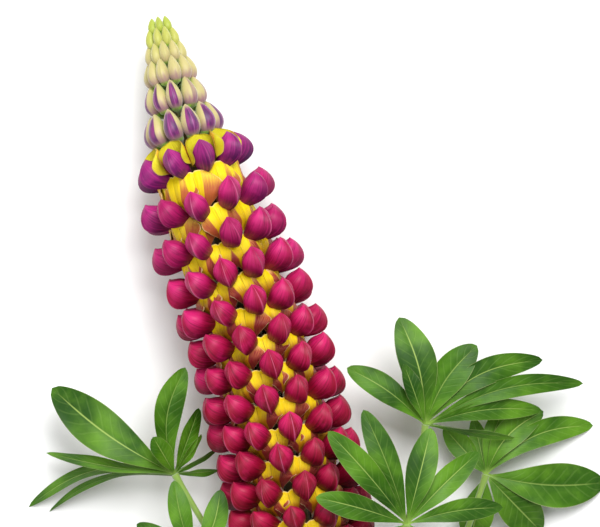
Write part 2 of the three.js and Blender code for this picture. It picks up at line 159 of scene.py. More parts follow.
class Blooms:
    """Frames of several blooms: forward along the pouch, dorsal towards the banner, and across."""

    def __init__(self, s, turn, lift, reach):
        """Each bloom starts at reach from the stem's line at s, turned round it from the top to the right.
        lift leans it from square to the stem towards the tip."""
        s, turn, lift = (np.asarray(v, float) for v in (s, turn, lift))
        self.at, self.to_tip, up, right = spine(s)
        self.out = up * np.cos(turn)[:, None] + right * np.sin(turn)[:, None]
        c, q = np.cos(lift)[:, None], np.sin(lift)[:, None]
        self.forward = self.out * c + self.to_tip * q
        self.dorsal = self.to_tip * c - self.out * q
        self.across = np.cross(self.forward, self.dorsal)
        self.base = self.at + self.out * np.reshape(reach, (-1, 1))

    def place(self, a, d, w):
        """Points at a forward, d dorsal and w across; each is an array of blooms by rows by columns."""
        a, d, w = np.broadcast_arrays(a, d, w)
        return (
            self.base[:, None, None]
            + a[..., None] * self.forward[:, None, None]
            + d[..., None] * self.dorsal[:, None, None]
            + w[..., None] * self.across[:, None, None]
        )

    def twist(self, roll, yaw):
        """Roll each bloom about its forward line, then swing it sideways."""
        c, q = np.cos(roll)[:, None], np.sin(roll)[:, None]
        self.dorsal, self.across = self.dorsal * c + self.across * q, self.across * c - self.dorsal * q
        c, q = np.cos(yaw)[:, None], np.sin(yaw)[:, None]
        self.forward, self.across = self.forward * c + self.across * q, self.across * c - self.forward * q

    def spot(self, a, d):
        """One point of each bloom, on its middle plane."""
        return self.base + a * self.forward + d * self.dorsal

    def spokes(self, v, side):
        """Unit lines across each bloom at the angles v, counted from its dorsal side, 1, or the other, -1."""
        dorsal, across = self.dorsal[:, None, None], self.across[:, None, None]
        return side * np.cos(v)[..., None] * dorsal + np.sin(v)[..., None] * across


def col(v):
    """One number for each bloom, ready to be spread over its rows and columns."""
    return np.reshape(np.asarray(v, float), (-1, 1, 1))


def bend(start, middle, end, s):
    """Points on the quadratic curve of each bloom that starts towards the middle point."""
    return (1 - s) ** 2 * start[:, None] + 2 * s * (1 - s) * middle[:, None] + s**2 * end[:, None]


# ---------------------------------------------------------------- meshes
class Skin:
    """Collects grids of points into one mesh. petal is (across, along, part) and own is (age, chance,
    chance), for the materials."""

    def __init__(self):
        self.points, self.faces, self.mats, self.petal, self.own = [], [], [], [], []
        self.count = 0

    def add(self, points, petal, own, material=0, wrap=False, flip=False, ends=False):
        """points is (pieces, rows, columns, 3), and petal and own spread to the same shape. wrap joins the
        last column to the first. A face looks along columns cross rows, or the other way with flip. ends
        closes both ends of a tube."""
        pieces, n, m, _ = points.shape
        petal, own = np.broadcast_to(petal, points.shape), np.broadcast_to(own, points.shape)
        i = np.arange(n - 1)[:, None]
        j = np.arange(m if wrap else m - 1)[None, :]
        near, far = i * m, (i + 1) * m
        beside = (j + 1) % m
        quad = np.stack([near + j, near + beside, far + beside, far + j], -1)
        quad = quad[..., ::-1] if flip else quad
        faces = quad.reshape(1, -1, 4) + (np.arange(pieces) * n * m)[:, None, None] + self.count
        self.points.append(points.reshape(-1, 3))
        self.faces.append(faces.reshape(-1, 4))
        self.mats.append(np.full(faces.shape[0] * faces.shape[1], material))
        self.petal.append(petal.reshape(-1, 3))
        self.own.append(own.reshape(-1, 3))
        self.count += pieces * n * m
        if ends:
            for row, order in ((0, -1), (-1, 1)):
                ring = points[:, row]
                middle = np.broadcast_to(ring.mean(1, keepdims=True), ring.shape)
                disc = np.stack([ring, middle][::order], 1)
                self.add(disc, petal[:, row, None], own[:, row, None], material, wrap=True, flip=flip)

    def shell(self, near, far, petal_near, petal_far, own):
        """Two sheets on the same grid, joined round their edge. The near one faces the way that add says."""

        def edge(grid):
            sides = [grid[:, 0], grid[:, 1:, -1], grid[:, -1, -2::-1], grid[:, -2:0:-1, 0]]
            return np.concatenate(sides, 1)

        self.add(near, petal_near, own)
        self.add(far, petal_far, own, flip=True)
        petal = np.stack([edge(petal_far), edge(petal_near)], 1)
        self.add(np.stack([edge(far), edge(near)], 1), petal, own, wrap=True)

    def object(self, name, materials, node, slot):
        """The mesh in metres, as the piece that takes the place of one node."""
        points = (settle(np.concatenate(self.points)) + SHIFT) * MM
        faces = np.concatenate(self.faces)
        mesh = bpy.data.meshes.new(name)
        mesh.vertices.add(len(points))
        mesh.vertices.foreach_set("co", points.astype(np.float32).ravel())
        mesh.loops.add(faces.size)
        mesh.loops.foreach_set("vertex_index", faces.astype(np.int32).ravel())
        mesh.polygons.add(len(faces))
        mesh.polygons.foreach_set("loop_start", np.arange(0, faces.size, 4, dtype=np.int32))
        for material in materials:
            mesh.materials.append(material)
        mesh.polygons.foreach_set("material_index", np.concatenate(self.mats).astype(np.int32))
        for key, values in (("petal", self.petal), ("own", self.own)):
            layer = mesh.attributes.new(key, "FLOAT_VECTOR", "POINT")
            layer.data.foreach_set("vector", np.concatenate(values).astype(np.float32).ravel())
        mesh.update(calc_edges=True)
        mesh.polygons.foreach_set("use_smooth", np.ones(len(faces), bool))
        thing = bpy.data.objects.new(name, mesh)
        bpy.context.collection.objects.link(thing)
        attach(thing, "root")
        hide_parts(node)


def tube(line, radius, sides):
    """Rings of the given radius round a line of points, as (1, rows, columns, 3)."""
    along = unit(np.gradient(line, axis=0))
    flat = unit(np.cross(along, np.array([0, 0, 1.0])))
    high = np.cross(flat, along)
    turn = TAU * np.arange(sides) / sides
    ring = np.cos(turn)[:, None] * flat[:, None] + np.sin(turn)[:, None] * high[:, None]
    return (line[:, None] + np.reshape(radius, (-1, 1, 1)) * ring)[None]


# ---------------------------------------------------------------- materials
def srgb(text):
    """A colour written as rrggbb, in linear light."""
    v = [int(text[i : i + 2], 16) / 255 for i in (0, 2, 4)]
    return tuple(c / 12.92 if c <= 0.04045 else ((c + 0.055) / 1.055) ** 2.4 for c in v) + (1.0,)


class Value:
    """A shader socket that adds, multiplies and so on like a number."""

    def __init__(self, paint, socket):
        self.paint, self.socket = paint, socket

    def _math(self, operation, *args):
        return self.paint.node("ShaderNodeMath", list(args), operation=operation)

    def __add__(self, o):
        return self._math("ADD", self, o)

    def __radd__(self, o):
        return self._math("ADD", o, self)

    def __sub__(self, o):
        return self._math("SUBTRACT", self, o)

    def __rsub__(self, o):
        return self._math("SUBTRACT", o, self)

    def __mul__(self, o):
        return self._math("MULTIPLY", self, o)

    def __rmul__(self, o):
        return self._math("MULTIPLY", o, self)

    def abs(self):
        return self._math("ABSOLUTE", self)

    def sin(self):
        return self._math("SINE", self)

    def ramp(self, lo, hi):
        """0 below lo, 1 above hi, smooth between; lo may be the larger."""
        args = {"Value": self, "From Min": lo, "From Max": hi}
        return self.paint.node("ShaderNodeMapRange", args, interpolation_type="SMOOTHSTEP")


class Paint:
    """One material and its nodes."""

    def __init__(self, name, roughness=0.5, **fixed):
        self.material = bpy.data.materials.new(name)
        self.material.use_nodes = True
        self.tree = self.material.node_tree
        self.shader = next(n for n in self.tree.nodes if n.type == "BSDF_PRINCIPLED")
        self.set("Roughness", roughness)
        for key, value in fixed.items():
            self.set(key.replace("_", " "), value)

    def plug(self, value, socket):
        """Link a value to a socket, or write a plain number or colour into it."""
        if isinstance(value, Value):
            self.tree.links.new(value.socket, socket)
        else:
            socket.default_value = value

    def set(self, name, value):
        """Fill one input of the shader."""
        self.plug(value, self.shader.inputs[name])

    def node(self, kind, inputs=(), out=0, **settings):
        """A new node with its inputs filled, as the value of one of its outputs."""
        made = self.tree.nodes.new(kind)
        for key, value in settings.items():
            setattr(made, key, value)
        pairs = inputs.items() if isinstance(inputs, dict) else enumerate(inputs)
        for key, value in pairs:
            self.plug(value, made.inputs[key])
        return Value(self, made.outputs[out])

    def parts(self, name):
        """The three numbers of a vector attribute."""
        vector = self.node("ShaderNodeAttribute", attribute_name=name, out=1)
        split = self.node("ShaderNodeSeparateXYZ", [vector])
        return [Value(self, s) for s in split.socket.node.outputs]

    def where(self):
        """Object coordinates."""
        return self.node("ShaderNodeTexCoord", out=3)

    def noise(self, scale, detail=2.0, vector=None):
        """Noise over object coordinates, or over another vector."""
        args = {"Vector": vector or self.where(), "Scale": scale, "Detail": detail}
        return self.node("ShaderNodeTexNoise", args)

    def larger(self, a, b):
        """The larger of two numbers."""
        return self.node("ShaderNodeMath", [a, b], operation="MAXIMUM")

    def vector(self, x, y, z=0.0):
        """A vector made of three numbers."""
        return self.node("ShaderNodeCombineXYZ", [x, y, z])

    def mix(self, factor, a, b):
        """The colour a where the factor is 0, b where it is 1, and a blend between."""
        return self.node("ShaderNodeMix", {0: factor, 6: a, 7: b}, out=2, data_type="RGBA")

    def bump(self, height, strength, distance=0.0002):
        """Tilt the surface as a relief would that is height times distance high, in metres."""
        args = {"Height": height, "Strength": strength, "Distance": distance}
        self.set("Normal", self.node("ShaderNodeBump", args))


def ages(paint, age, *steps):
    """A colour that changes with age: steps of (age, colour)."""
    colour = srgb(steps[0][1])
    for (before, _), (after, text) in zip(steps, steps[1:]):
        colour = paint.mix(age.ramp(before, after), colour, srgb(text))
    return colour


def wing_paint():
    """The pouch: violet when young, magenta and then dark crimson with age, with fine veins that fan from
    its foot, painted shade over its lower half towards the ridge and foot, a painted highlight high on
    each wing, a thin pink painted highlight along the ridge and a dark rim to the seam."""
    p = Paint("wing", 0.42, Specular_IOR_Level=0.22)
    across, along, _ = p.parts("petal")
    age, chance, other = p.parts("own")
    colour = ages(p, age, (0, "7c1860"), (0.1, "920e4e"), (0.3, "940634"), (0.65, "880424"), (1, "740217"))
    # a darker colour of each age: for the dark veins, the rim at the seam and the painted shade below
    old = ages(p, age, (0, "381040"), (0.12, "42082c"), (0.5, "440314"), (1, "32010a"))
    # a lighter colour of each age: for the light veins and mottles, and for the painted highlight high on
    # each wing
    bright_marks_and_highlight = ages(p, age, (0, "bc3088"), (0.12, "c82876"), (0.5, "cf1f68"), (1, "bc184c"))
    # painted shade over the lower half of each wing, towards the ridge and the foot, deeper on some blooms
    low = across.ramp(0.5, 0.97) * along.ramp(1.0, 0.4)
    colour = p.mix(low * (0.45 + 0.5 * chance), colour, old)
    # painted highlight high on each wing towards the tip, away from the ridge, stronger on some blooms
    shoulder = along.ramp(0.4, 0.9) * across.ramp(0.95, 0.5)
    colour = p.mix(shoulder * (0.25 + 0.7 * other), colour, bright_marks_and_highlight)
    veins = p.noise(1.0, 3.0, p.vector(across * 24, along * 1.7, chance * 40))
    colour = p.mix(veins.ramp(0.5, 0.68) * 0.5, colour, old)
    colour = p.mix(veins.ramp(0.46, 0.32) * 0.3, colour, bright_marks_and_highlight)
    mottle = p.noise(190.0, 3.0)
    colour = p.mix(mottle.ramp(0.5, 0.75) * 0.3, colour, bright_marks_and_highlight)
    # painted highlight: a thin pink line along the ridge, brighter on some blooms
    ridge = across.ramp(0.965, 1.0) * along.ramp(0.3, 0.6)
    colour = p.mix(ridge * 0.28 * (0.2 + other), colour, srgb("e07aa4"))
    rim = across.ramp(0.06, 0.0)
    colour = p.mix(rim * 0.6, colour, old)
    colour = p.mix(along.ramp(0.15, 0.03) * 0.7, colour, srgb("7d4248"))
    p.set("Base Color", colour)
    p.set("Roughness", 0.38 + 0.16 * veins)
    p.bump(veins + 0.5 * mottle, 0.45)
    return p.material


def banner_paint():
    """The banner: a yellow face with a dark-lined groove and fine pleats, red-brown towards its foot, its own
    reddening with age spread and deepened as painted shade; folded sides and back yellow to salmon when
    young, then crimson with veins, darker towards their foot as painted shade; a pale rim."""
    p = Paint("banner", 0.5, Specular_IOR_Level=0.18)
    across, along, rim = p.parts("petal")
    age, chance, other = p.parts("own")
    span = across.abs()
    colour = ages(p, age, (0, "d4cc2a"), (0.1, "f0d60a"), (0.6, "eccc08"), (1, "e4c008"))
    veins = p.noise(1.0, 3.0, p.vector(across * 12, along * 2.2, chance * 30))
    colour = p.mix(veins.ramp(0.5, 0.75) * 0.4, colour, srgb("c88e02"))
    colour = p.mix(veins.ramp(0.45, 0.3) * 0.45, colour, srgb("fdec40"))
    # red-brown towards the foot: the banner's own reddening with age, spread and deepened as painted shade
    # between the blooms
    foot_reddening_and_shade = (along + 0.3 * (veins - 0.5)).ramp(0.76, 0.5) * (0.3 + 0.7 * age.ramp(0.0, 0.4))
    colour = p.mix(foot_reddening_and_shade * 0.78, colour, srgb("84200c"))
    groove = span.ramp(0.07, 0.0) * along.ramp(0.5, 0.64) * along.ramp(0.98, 0.86)
    colour = p.mix(groove * 0.6 * veins.ramp(0.35, 0.6), colour, srgb("4e3a08"))
    line = p.noise(1.0, 2.0, p.vector(across * 26, along * 4, other * 30))
    side = p.mix(line.ramp(0.44, 0.6), srgb("c06a3e"), srgb("8a1624"))
    side = p.mix(along.ramp(0.95, 0.7), srgb("e0b060"), side)
    # painted shade: the sides' own crimson deepened towards their foot, between the blooms
    side = p.mix(along.ramp(0.8, 0.5) * 0.8, side, srgb("640a1a"))
    young = p.mix(line.ramp(0.42, 0.66), srgb("efcf2c"), srgb("d58c40"))
    young = p.mix((along + 0.3 * (veins - 0.5)).ramp(0.88, 0.55) * 0.85, young, srgb("a8402e"))
    side = p.mix(age.ramp(0.04, 0.3), young, side)
    folded = (span + 0.16 * (veins - 0.5)).ramp(0.96, 1.12) * age.ramp(0.01, 0.05)
    under = rim.ramp(0.0, -0.001)
    colour = p.mix(p.larger(folded, under), colour, side)
    edge = p.larger(along.ramp(0.965, 0.995), rim.abs().ramp(0.05, 0.0))
    colour = p.mix(edge * 0.55, colour, ages(p, age, (0, "b98a72"), (0.08, "f0d8a0")))
    p.set("Base Color", colour)
    p.set("Roughness", 0.42 + 0.16 * veins)
    p.bump(veins + 0.5 * line, 0.5, 0.0003)
    return p.material


def green_paint(name, young, old, roughness=0.55):
    """Stem, stalks and calyces: green with a fine grain along them, another colour where old, and down."""
    p = Paint(name, roughness, Sheen_Weight=0.5, Sheen_Roughness=0.5)
    across, along, _ = p.parts("petal")
    age, chance, _ = p.parts("own")
    grain = p.noise(1.0, 3.0, p.vector(across * 14, along * 5, chance * 20))
    colour = p.mix(age * 0.8 + (grain - 0.5) * 0.5, srgb(young), srgb(old))
    p.set("Base Color", colour)
    p.bump(grain, 0.3)
    return p.material


def bud_paint():
    """A bud: lime when young, then cream with a mauve foot, at last a violet wing between cream halves, with
    a pale pink painted highlight down the wing's middle.
    """
    p = Paint("bud", 0.48, Sheen_Weight=0.35)
    across, along, _ = p.parts("petal")
    age, chance, other = p.parts("own")
    grain = p.noise(1.0, 3.0, p.vector(across * 9, along * 2.5, chance * 30))
    colour = ages(p, age, (0, "a3b03a"), (0.2, "b3b450"), (0.45, "bdb172"), (1, "bfb078"))
    colour = p.mix((grain - 0.4) * 0.6, colour, srgb("a3a84e"))
    span = across.abs()
    colour = p.mix(span.ramp(0.3, 0.75) * 0.65, colour, srgb("a3b54c"))
    foot = (along + 0.5 * (grain - 0.5)).ramp(0.6, 0.15) * age.ramp(0.2, 0.75)
    colour = p.mix(foot * 0.8, colour, srgb("8c5478"))
    colour = p.mix(along.ramp(0.2, 0.06), colour, srgb("8aa632"))
    half_slit = age.ramp(0.62, 1.0) * 0.16 + age.ramp(0.5, 0.7) * 0.08 * (0.5 + other)
    open_part = (span - half_slit - 0.05 * (grain - 0.5)).ramp(0.03, -0.01)
    ripe = (age + 0.3 * (other - 0.5)).ramp(0.62, 0.72)
    slit = open_part * along.ramp(0.1, 0.3) * along.ramp(1.0, 0.84) * ripe
    purple = p.mix(grain.ramp(0.35, 0.7), srgb("4f0f52"), srgb("84246f"))
    # painted highlight: a paler pink line down the middle of the violet wing
    purple = p.mix(span.ramp(0.03, 0.0) * 0.35, purple, srgb("c070b0"))
    colour = p.mix(slit, colour, purple)
    p.set("Base Color", colour)
    p.set("Roughness", 0.4 + 0.2 * grain)
    p.bump(grain - 1.2 * open_part, 0.5)
    return p.material


def leaf_paint():
    """A leaflet: green in soft patches, with faint side veins that run to its tip, a thin pale rib between
    darker strips of painted shade in the fold, and a thin pale edge; greyer below."""
    p = Paint("leaf", 0.42, Specular_IOR_Level=0.2, Coat_Weight=0.05, Coat_Roughness=0.35)
    across, along, under = p.parts("petal")
    shade, chance, other = p.parts("own")
    span = across.abs()
    slant = (along * 66 - span * 11 + chance * 9 + 3.0 * p.noise(120.0, 1.0)).sin()
    veins = slant.ramp(0.7, 1.0) * span.ramp(0.98, 0.6)
    patches = p.noise(38.0, 3.0)
    spots = p.noise(160.0, 4.0)
    fine = p.noise(900.0, 2.0)
    colour = p.mix(shade, srgb("3f6e0a"), srgb("204a02"))
    colour = p.mix(patches.ramp(0.45, 0.72) * 0.75, colour, srgb("6a9c22"))
    colour = p.mix(patches.ramp(0.52, 0.3) * 0.85, colour, srgb("143a02"))
    colour = p.mix(spots - 0.45, colour, srgb("6a9a28"))
    colour = p.mix((fine - 0.4) * 0.4, colour, srgb("24480c"))
    # painted shade in the fold on both sides of the rib, fading towards the tip
    rib_fold_shade = span.ramp(0.3, 0.05) * along.ramp(0.95, 0.5)
    colour = p.mix(rib_fold_shade * 0.35, colour, srgb("24500e"))
    colour = p.mix(veins * 0.09, colour, srgb("8fb25a"))
    rib = span.ramp(0.055, 0.015) * along.ramp(1.0, 0.75)
    colour = p.mix(rib * (0.35 + 0.4 * other), colour, srgb("a6bf62"))
    colour = p.mix(span.ramp(0.965, 0.995) * 0.45, colour, srgb("b3b97a"))
    colour = p.mix(along.ramp(0.12, 0.0) * 0.7, colour, srgb("9dbd58"))
    colour = p.mix(under * 0.5, colour, srgb("7c9a58"))
    p.set("Base Color", colour)
    p.set("Roughness", 0.4 + 0.25 * spots)
    p.bump(0.5 * spots + 0.4 * patches - 0.35 * veins - rib + 0.3 * fine, 0.55, 0.0003)
    return p.material


# ---------------------------------------------------------------- blooms
def growth(k):
    """How far a whorl's blooms have come, from the youngest, 0, on. Most of it changes on exponentials that
    settle after a few rows."""
    young = math.exp(-k / 1.2)

    def at(row):
        """The rows' places, which crowd together on a power below one."""
        return FIRST_AT + SPACING * row**CROWDING

    return {
        "s": at(k) + 3 + 2 * math.exp(-2 * k),
        "gap": at(k) - at(k - 1) if k else 14,
        "blooms": BLOOMS - max(0, 2 - k),
        "lift": 41 + 17 * math.exp(-k / 1.5) - 0.4 * k,
        "length": 15.2 - 0.7 * young,
        "depth": 10.2,
        "width": 8.7 - 0.5 * young,
        "reach": 12.2 - 3.2 * math.exp(-2 * k),
        "open": 1 - math.exp(-k / 0.9),
        "age": k / (WHORLS - 1),
    }


def pouches(skin, b, g, size, own):
    """Two joined wings. The upper seam runs level and dips to the tip on a smooth step. The ridge below falls
    on a quarter sine to the full depth and comes back to the tip on an ellipse, and the width follows alike.
    Across, each wing swells from the seam on a quarter sine and falls to the ridge on a low power, so the two
    meet at an angle."""
    t = np.linspace(0, 1, 23)
    t = (0.35 * t + 0.65 * np.sin(t * math.pi / 2))[None, :, None]
    v = np.linspace(0, 1, 13)[None, None, :]
    length, depth, width = (col(g[key] * size) for key in ("length", "depth", "width"))
    # the foot's depth and half width, and how far along the pouch is deepest
    foot_depth, foot_half, full = 2.4, 1.8, 0.63
    rise = np.sin(np.clip(t / full, 0, 1) * math.pi / 2)
    end = np.sqrt(np.clip(1 - ((t - full) / (1 - full)) ** 2, 0, 1))
    tip = -0.17 * depth
    seam = 0.7 + 0.3 * np.sin(math.pi * t) - 0.3 * t + (tip - 0.4) * smooth(t, 0.6, 1) ** 1.4
    ridge = np.where(t < full, -foot_depth - (depth - foot_depth) * rise, tip + (-depth - tip) * end)
    half = np.where(t < full, foot_half + (width / 2 - foot_half) * rise, width / 2 * end**1.2)
    # where across a wing it is widest, from the seam, 0, to the ridge, 1
    widest = 0.42
    rounded = np.sin(math.pi / 2 * np.clip(v / widest, 0, 1) ** 0.8) ** 0.9
    section = np.where(v < widest, rounded, 1 - np.clip((v - widest) / (1 - widest), 0, 1) ** 1.55)
    # the wings' edges part a little along the seam
    wide = half * section + 0.04 + 0.25 * (1 - v) ** 6 * end
    wings = [b.place(t * length, seam + (ridge - seam) * v, side * wide) for side in (1, -1)]
    petals = [triple(v, t, side) for side in (1.0, -1.0)]
    skin.shell(*wings, *petals, own)


def banners(skin, b, g, size, own, chance):
    """One broad petal with a front and a back. Its middle line runs along the pouch, turns on a smooth step
    and stands up. Across, a groove, which is a bell curve, runs down its middle. Its sides, one looser than
    the other, fold back on arcs along lines that spread to its top corners. On the youngest blooms they wrap
    forwards round the pouch under a domed top. The others have a notch and round corners."""
    n, m = 21, 27
    v = np.linspace(0, 1, n)[None, :, None]
    u = np.linspace(-1, 1, m)[None, None, :]
    x = np.abs(u)
    opened = g["open"]
    # the lengths before and after the turn; the second grows with the space between rows
    run, rise = 7.2, (6.6 + 2.1 * opened) * g["gap"] / 13
    turned = run / (run + rise)
    stand = math.radians(20 + 38 * opened) + 0.10 * col(chance)
    ease = smooth(np.linspace(0, 1, n), turned - 0.13, turned + 0.13)[None, :, None]
    angle = 0.16 + (stand - 0.16) * ease
    step = (run + rise) / (n - 1) * col(size)
    zero = np.zeros((len(b.at), 1, 1))
    a = 0.4 + np.concatenate([zero, np.cumsum(np.cos(angle[:, :-1]) * step, 1)], 1)
    d = 0.5 + np.concatenate([zero, np.cumsum(np.sin(angle[:, :-1]) * step, 1)], 1)
    up = np.clip((v - turned) / (1 - turned), 0, 1)
    loose = -np.sign(u) * opened
    face = (1.4 + 1.2 * smooth(v, 0, turned) + 2.1 * up**0.7) * (0.45 + 0.55 * opened) * col(size)
    swell = np.sin(math.pi * np.clip(0.3 + 0.6 * up, 0, 1)) * smooth(v, 0.1, turned)
    flank = (0.3 + 4.5 * swell) * col(size)
    flank = flank * (1 + 0.3 * loose) + 5.5 * (1 - opened) * smooth(v, 0, 0.5)
    dome = np.sqrt(1 - 0.998 * np.clip((v - 0.4) / 0.6, 0, 1) ** 2.2)
    face, flank = (part * (1 - (1 - opened) * (1 - dome)) for part in (face, flank))
    out = x * (face + flank)
    beyond = np.clip(out - face, 0, None)
    # the sides turn back by the angle fold on arcs of radius arc, and a negative fold wraps them forwards
    fold = math.radians(min(62, 230 * opened - 108)) * (1 - 0.22 * loose + 0.2 * opened * col(chance))
    fold = fold * (1 - 0.75 * opened * (1 - up))
    arc = 0.6 + 3.2 * (1 - opened)
    turn = np.minimum(beyond / arc, np.abs(fold))
    rest = np.clip(beyond - arc * np.abs(fold), 0, None)
    wide = np.minimum(out, face) + arc * np.sin(turn) + rest * np.cos(fold)
    back = (arc * (1 - np.cos(turn)) + rest * np.sin(np.abs(fold))) * np.sign(fold)
    across = out / face
    groove = 0.5 * np.exp(-((across / 0.2) ** 2)) * np.sin(math.pi * v) ** 0.7
    pleat = 0.12 * np.cos(across * 9 + 2 * col(chance)) * up
    edge = -0.8 * np.exp(-((u / 0.13) ** 2)) * smooth(v, 0.8, 1) * opened
    edge = edge - 2.4 * opened * (1 - np.sqrt(1 - 0.98 * x**2)) * smooth(v, 0.45, 1)
    curl = 0.9 * smooth(v, 0.86, 1) ** 1.3 * opened
    sheets, petals = [], []
    for part in (1, 0):
        behind = back + groove + pleat + curl + BANNER_THICK * part
        ahead = a - np.sin(angle) * behind + edge * np.cos(angle)
        above = d + np.cos(angle) * behind + edge * np.sin(angle)
        sheets.append(b.place(ahead, above, np.sign(u) * wide))
        # the rim is positive in front and negative behind
        rim = (1 - x) * (1 - 2 * part) - 0.001 * part
        petals.append(triple((across * np.sign(u))[:1], v, rim))
    skin.shell(*sheets, *petals, own)


def stalks(skin, b, own, root):
    """The green foot of each bloom: a tube on a quadratic curve from the stem, which swells on a smooth step
    into a calyx round the pouch's foot."""
    s = np.linspace(0, 1, 12)[None, :, None]
    v = (np.arange(10) / 10 * TAU)[None, None, :]
    line = bend(root, b.spot(-1.6, -0.9), b.spot(3.4, -0.6), s)
    radius = 0.62 + 1.75 * smooth(s, 0.5, 0.9)
    points = line[:, :, None] + radius[..., None] * b.spokes(v, 1)
    skin.add(points, triple(v / TAU, s, 0.0), own, wrap=True, ends=True)


WING, BANNER, CALYX = wing_paint(), banner_paint(), green_paint("calyx", "8a9446", "6e3a2c")
BUD, BRACT = bud_paint(), green_paint("bract", "8cb52c", "6d9a1e")
LEAF, STALK = leaf_paint(), green_paint("stalk", "88a846", "668a30")
STEM = green_paint("stem", "8aa844", "80603a")


def whorl(k):
    """One ring of blooms, placed with the solids' wobble. Each is then rolled and swung a little."""
    g = growth(k)
    count = g["blooms"]
    pitch = 360 / count
    phase = -0.2 if k % 2 else 0.3 + 0.2 * math.exp(-k)
    wobble = wobbler(701 + k)
    rows = []
    for i in range(count):
        turn = math.radians((phase + i) * pitch + 3 * next(wobble))
        s = g["s"] + 0.8 * next(wobble)
        lift = math.radians(g["lift"] + 2 * next(wobble))
        rows.append((turn, s, lift, 1 + 0.04 * next(wobble)))
    turn, s, lift, size = (np.array(v) for v in zip(*rows))
    b = Blooms(s, turn, lift, np.full(count, g["reach"]))
    roll, yaw = np.random.default_rng(800 + k).uniform(-1, 1, (2, count))
    b.twist(0.2 * roll, 0.08 * yaw)
    more = np.random.default_rng(700 + k)
    chances = more.uniform(0, 1, (count, 2))
    age = g["age"] + more.normal(0, 0.02, (count, 1))
    own = np.concatenate([age, chances], 1)[:, None, None]
    # the stalks rise towards the tip at 26 degrees, and start a little inside the solids' collar
    drop = (g["reach"] - stem_radius(g["s"])) * math.tan(math.radians(26))
    inner = stem_radius(g["s"] + drop) + CLEAR - 0.2
    root = b.at - b.to_tip * drop + b.out * inner
    wings, flags, feet = Skin(), Skin(), Skin()
    pouches(wings, b, g, size, own)
    banners(flags, b, g, size, own, more.uniform(-1, 1, count))
    stalks(feet, b, own, root)
    name = "bloom_whorl_%02d" % (k + 1)
    slot = "bloom_young" if k == 0 else ("bloom" if k < 8 else "bloom_old")
    wings.object(name + "_wings", [WING], name, slot)
    flags.object(name + "_banners", [BANNER], name, slot)
    feet.object(name + "_calyces", [CALYX], name, slot)


for k in range(WHORLS):
    whorl(k)


# ---------------------------------------------------------------- buds
def buds(index, skin, feet):
    """A bud is a pointed egg: its radius is a power of the sine of a power of its length, and its middle line
    sags on a sine and a square. Its calyx is a tube on a quadratic curve that swells on a smooth step and
    ends in three teeth on a cosine."""
    at, count, length, width, lean, root = BUD_ROWS[index]
    wobble = wobbler(31 + index)
    pitch = 360 / count
    phase = 0 if index % 2 else 0.5
    turn, tilt = [], []
    for i in range(count):
        turn.append(math.radians(phase * pitch + i * pitch + 3 * next(wobble)))
        tilt.append(math.radians(lean + 2 * next(wobble)))
    s = at + (length / 2) * math.sin(math.radians(lean))
    b = Blooms(np.full(count, s), turn, tilt, np.full(count, root))
    # t runs along the bud, and v round it from its outward side
    t = np.linspace(0, 1, 17)[None, :, None]
    v = (np.arange(18) / 18 * TAU)[None, None, :]
    radius = (width / 2) * (0.06 + np.sin(math.pi * t**0.82) ** 0.78) * (1 - 0.06 * t)
    radius = np.where(t > 0.995, 0.03, radius)
    a = t * length - 0.1
    sag = -0.14 * width * np.sin(math.pi * t**0.8) + 0.12 * width * t**2
    keel = 1 + 0.10 * np.cos(v) ** 8
    points = b.place(a, sag - 1.06 * radius * np.cos(v) * keel, radius * np.sin(v))
    more = np.random.default_rng(900 + index)
    age = 1 - index / (len(BUD_ROWS) - 1)
    own = np.concatenate([age + more.normal(0, 0.03, (count, 1)), more.uniform(0, 1, (count, 2))], 1)
    own = own[:, None, None]
    # across is 0 on the outward side and 1 or -1 on the stem side
    across = np.abs((v + math.pi) % TAU - math.pi) / math.pi * np.sign(np.sin(v) + 1e-9)
    skin.add(points, triple(across, t, 0.0), own, wrap=True, flip=True, ends=True)
    q = np.linspace(0, 1, 7)[None, :, None]
    core = stem_radius(s) + 0.3 if index < ROWS_ON_STEM else 0.6
    foot = b.spot(-1.4, 0.2) - b.out * max(0.3, root - core)
    line = bend(foot, b.spot(-0.6, 0), b.spot(0.14 * length, -0.06 * width), q)
    radius = 0.5 + (width / 2 * 0.62 - 0.2) * smooth(q, 0.3, 0.9)
    tooth = 0.45 * np.cos(3 * v) * smooth(q, 0.6, 1.0)
    cup = line[:, :, None] + radius[..., None] * b.spokes(v, -1) + tooth[..., None] * b.forward[:, None, None]
    feet.add(cup, triple(v / TAU, q, 0.0), own, wrap=True, flip=True, ends=True)


def bud_core(feet):
    """The stem's thin end inside the bud tip."""
    s = np.linspace(STEM_TOP - CLEAR, 1.5, 24)
    radius = (STEM_THIN - (STEM_TOP - s) * 0.03) * smooth(s, 0, 6) + 0.05
    points = tube(spine_point(s), radius, 10)
    feet.add(points, np.zeros(3), np.array([0.2, 0.5, 0.5]), wrap=True, flip=True, ends=True)


for name, indices in (("bud_whorl_2", [0]), ("bud_whorl_1", [1]), ("bud_tip", [2, 3, 4, 5])):
    skin, feet = Skin(), Skin()
    for index in indices:
        buds(index, skin, feet)
    if name == "bud_tip":
        bud_core(feet)
    slot = "bud_purple" if name == "bud_whorl_2" else "bud"
    skin.object(name + "_buds", [BUD], name, slot)
    feet.object(name + "_calyces", [BRACT], name, slot)


